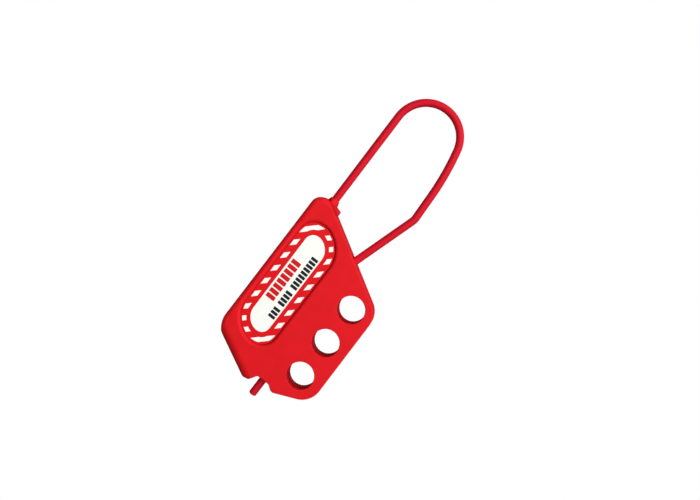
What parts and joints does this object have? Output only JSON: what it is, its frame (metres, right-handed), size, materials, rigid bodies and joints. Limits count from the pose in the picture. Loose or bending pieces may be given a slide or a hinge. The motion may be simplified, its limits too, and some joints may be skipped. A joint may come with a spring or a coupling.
{
  "type": "lockout hasp",
  "caption": "Non-conductive lockout hasp: flat nylon body with padlock holes and a thin bent nylon shackle that slides up out of it to pass through a lockout point.",
  "frame": {"origin": "centre of the middle padlock hole, at mid thickness, where the two shells meet and the shackle's centreline runs", "axes": "+Z out of the front (label) face along the padlock holes, +Y along the body towards the shackle loop and the way the shackle lifts, +X towards the padlock-hole side"},
  "size_m": [0.0489, 0.1397, 0.01],
  "materials": {
    "body_nylon": "moulded nylon, satin gloss with a very fine texture, safety red",
    "shackle_nylon": "drawn nylon rod, satin, safety red",
    "plate_nylon": "moulded nylon, matt, dark red",
    "screw_nylon": "moulded nylon, matt, red",
    "label_film": "printed polyester film, red with white panel",
    "label_white": "white print on polyester film",
    "label_ink": "near-black print"
  },
  "bodies": {
    "hasp_body": {"front_shell": "body_nylon", "rear_shell": "body_nylon", "shell_screws": "screw_nylon", "front_label": "label_film", "rear_label": "label_film"},
    "sliding_shackle": {"shackle": "shackle_nylon", "lock_plate": "plate_nylon", "shackle_cross_pin": "screw_nylon"}
  },
  "joints": [
    {"name": "shackle_lift", "type": "slide", "parent": "hasp_body", "child": "sliding_shackle", "axis": [0, 1, 0], "range_m": [0, 0.024]}
  ]
}
